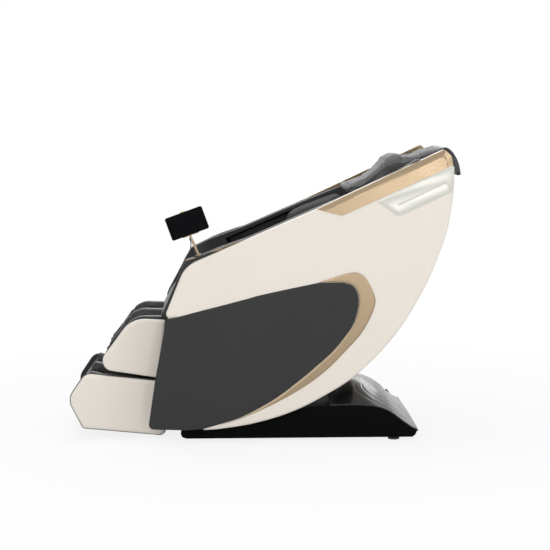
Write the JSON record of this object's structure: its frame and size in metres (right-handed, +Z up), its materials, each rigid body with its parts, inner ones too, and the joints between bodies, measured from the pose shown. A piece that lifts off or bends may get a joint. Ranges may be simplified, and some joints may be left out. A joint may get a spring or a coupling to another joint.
{
  "type": "massage chair",
  "caption": "Reclining capsule massage chair with curved cream side shells, lifting calf rest, sliding foot rest, roller carriage behind the back and a tablet on a swivel post.",
  "frame": {"origin": "on the floor, under the middle foot of the base, on the centre plane", "axes": "+Z up, -X towards the feet of the sitter, +Y to the sitter's right"},
  "size_m": [1.6141, 0.77, 1.1912],
  "materials": {
    "cream_shell": "glossy moulded shell",
    "dark_shell": "satin dark plastic",
    "gold_trim": "metallic champagne plastic",
    "silver_panel": "satin silver plastic",
    "black_leather": "smooth synthetic leather",
    "grey_leather": "soft synthetic leather",
    "frame_steel": "powder coated",
    "bright_steel": "ground steel",
    "base_plastic": "moulded skirt",
    "dome_plastic": "moulded cover",
    "black_rubber": "moulded",
    "roller_plastic": "polyurethane roller",
    "tablet_glass": "dark screen, switched off"
  },
  "bodies": {
    "base": {"base_frame": "frame_steel", "base_tray": "base_plastic", "base_dome": "dome_plastic", "base_feet": "black_rubber", "pivot_shaft": "bright_steel", "control_box": "base_plastic", "air_pump": "base_plastic", "mains_inlet": "base_plastic"},
    "power_switch": {"power_switch": "base_plastic"},
    "wheel_left": {"transport_wheel_left": "black_rubber"},
    "wheel_right": {"transport_wheel_right": "black_rubber"},
    "tilt_tube": {"tilt_tube": "frame_steel"},
    "tilt_rod": {"tilt_rod": "bright_steel"},
    "capsule": {"body_frame": "frame_steel", "side_panel_left": "cream_shell", "side_panel_right": "cream_shell", "insert_panel_left": "dark_shell", "insert_panel_right": "dark_shell", "crescent_trim_left": "gold_trim", "crescent_trim_right": "gold_trim", "top_rail_left": "gold_trim", "top_rail_right": "gold_trim", "speaker_panel_left": "silver_panel", "speaker_panel_right": "silver_panel", "inner_shell_left": "dark_shell", "inner_shell_right": "dark_shell", "arm_pad_left": "black_leather", "arm_pad_right": "black_leather", "arm_vent_left": "gold_trim", "arm_vent_right": "gold_trim", "rear_shell": "cream_shell", "seat_cushion": "black_leather", "back_pad": "black_leather", "shoulder_wing_left": "black_leather", "shoulder_wing_right": "black_leather", "head_pillow": "grey_leather", "guide_rods": "bright_steel", "leg_tube": "frame_steel"},
    "leg_rod": {"leg_rod": "bright_steel"},
    "calf_rest": {"calf_frame": "frame_steel", "calf_side_left": "cream_shell", "calf_side_right": "cream_shell", "calf_cushion": "black_leather"},
    "foot_rest": {"foot_frame": "frame_steel", "foot_side_left": "cream_shell", "foot_side_right": "cream_shell", "foot_cushion": "black_leather"},
    "sole_roller": {"sole_roller": "roller_plastic"},
    "carriage": {"carriage_frame": "frame_steel"},
    "massage_arm_left": {"massage_arm_left": "bright_steel"},
    "massage_arm_right": {"massage_arm_right": "bright_steel"},
    "roller_upper_left": {"roller_upper_left": "roller_plastic"},
    "roller_lower_left": {"roller_lower_left": "roller_plastic"},
    "roller_upper_right": {"roller_upper_right": "roller_plastic"},
    "roller_lower_right": {"roller_lower_right": "roller_plastic"},
    "post": {"tablet_post": "gold_trim", "tablet_lead": "black_rubber"},
    "holder": {"tablet_clamp": "gold_trim", "tablet": "tablet_glass"},
    "jaw": {"clamp_jaw": "gold_trim"}
  },
  "joints": [
    {"name": "body_tilt", "type": "hinge", "parent": "base", "child": "capsule", "pos_m": [0.06, 0, 0.23], "axis": [0, 1, 0], "range_deg": [0, 24]},
    {"name": "tilt_tube_swing", "type": "hinge", "parent": "base", "child": "tilt_tube", "pos_m": [-0.256, 0, 0.058], "axis": [0, 1, 0], "range_deg": [-1, 13]},
    {"name": "tilt_rod_extend", "type": "slide", "parent": "tilt_tube", "child": "tilt_rod", "axis": [-0.1657, 0, 0.9862], "range_m": [-0.002, 0.15]},
    {"name": "leg_lift", "type": "hinge", "parent": "capsule", "child": "calf_rest", "pos_m": [-0.53, 0, 0.52], "axis": [0, 1, 0], "range_deg": [0, 60]},
    {"name": "leg_rod_push", "type": "slide", "parent": "capsule", "child": "leg_rod", "axis": [-1, 0, 0], "range_m": [-0.002, 0.075]},
    {"name": "foot_extend", "type": "slide", "parent": "calf_rest", "child": "foot_rest", "axis": [-0.1547, 0, -0.988], "range_m": [0, 0.12]},
    {"name": "sole_roller_spin", "type": "hinge", "parent": "foot_rest", "child": "sole_roller", "pos_m": [-0.74, 0, 0.067], "axis": [0, 1, 0], "continuous": true},
    {"name": "carriage_travel", "type": "slide", "parent": "capsule", "child": "carriage", "axis": [0.6088, 0, 0.7934], "range_m": [0, 0.36]},
    {"name": "massage_arm_left_rock", "type": "hinge", "parent": "carriage", "child": "massage_arm_left", "pos_m": [0.06752, -0.062, 0.5732], "axis": [0, 1, 0], "range_deg": [-7, 7]},
    {"name": "roller_upper_left_spin", "type": "hinge", "parent": "massage_arm_left", "child": "roller_upper_left", "pos_m": [0.09796, -0.062, 0.61287], "axis": [0, 1, 0], "continuous": true},
    {"name": "roller_lower_left_spin", "type": "hinge", "parent": "massage_arm_left", "child": "roller_lower_left", "pos_m": [0.03708, -0.062, 0.53353], "axis": [0, 1, 0], "continuous": true},
    {"name": "massage_arm_right_rock", "type": "hinge", "parent": "carriage", "child": "massage_arm_right", "pos_m": [0.06752, 0.062, 0.5732], "axis": [0, 1, 0], "range_deg": [-7, 7]},
    {"name": "roller_upper_right_spin", "type": "hinge", "parent": "massage_arm_right", "child": "roller_upper_right", "pos_m": [0.09796, 0.062, 0.61287], "axis": [0, 1, 0], "continuous": true},
    {"name": "roller_lower_right_spin", "type": "hinge", "parent": "massage_arm_right", "child": "roller_lower_right", "pos_m": [0.03708, 0.062, 0.53353], "axis": [0, 1, 0], "continuous": true},
    {"name": "wheel_left_spin", "type": "hinge", "parent": "base", "child": "wheel_left", "pos_m": [-0.43, -0.168, 0.032], "axis": [0, 1, 0], "continuous": true},
    {"name": "wheel_right_spin", "type": "hinge", "parent": "base", "child": "wheel_right", "pos_m": [-0.43, 0.168, 0.032], "axis": [0, 1, 0], "continuous": true},
    {"name": "power_switch_rock", "type": "hinge", "parent": "base", "child": "power_switch", "pos_m": [0.3, 0.32, 0.084], "axis": [0, 0, 1], "range_deg": [0, 12]},
    {"name": "post_swivel", "type": "hinge", "parent": "capsule", "child": "post", "pos_m": [-0.40976, -0.304, 0.75981], "axis": [-0.3973, 0, 0.9177], "range_deg": [-100, 100]},
    {"name": "tablet_tilt", "type": "hinge", "parent": "post", "child": "holder", "pos_m": [-0.45545, -0.304, 0.86535], "axis": [0.9397, 0, 0.342], "range_deg": [-20, 20]},
    {"name": "clamp_jaw_open", "type": "slide", "parent": "holder", "child": "jaw", "axis": [-0.342, 0, 0.9397], "range_m": [0, 0.02], "stiffness_N_per_m": 300, "springref_m": -0.01}
  ],
  "couplings": [
    {"joint": "tilt_tube_swing", "follows": "body_tilt", "ratio": 0.519},
    {"joint": "tilt_rod_extend", "follows": "body_tilt", "m_per_rad": 0.328},
    {"joint": "leg_rod_push", "follows": "leg_lift", "m_per_rad": 0.06836}
  ]
}
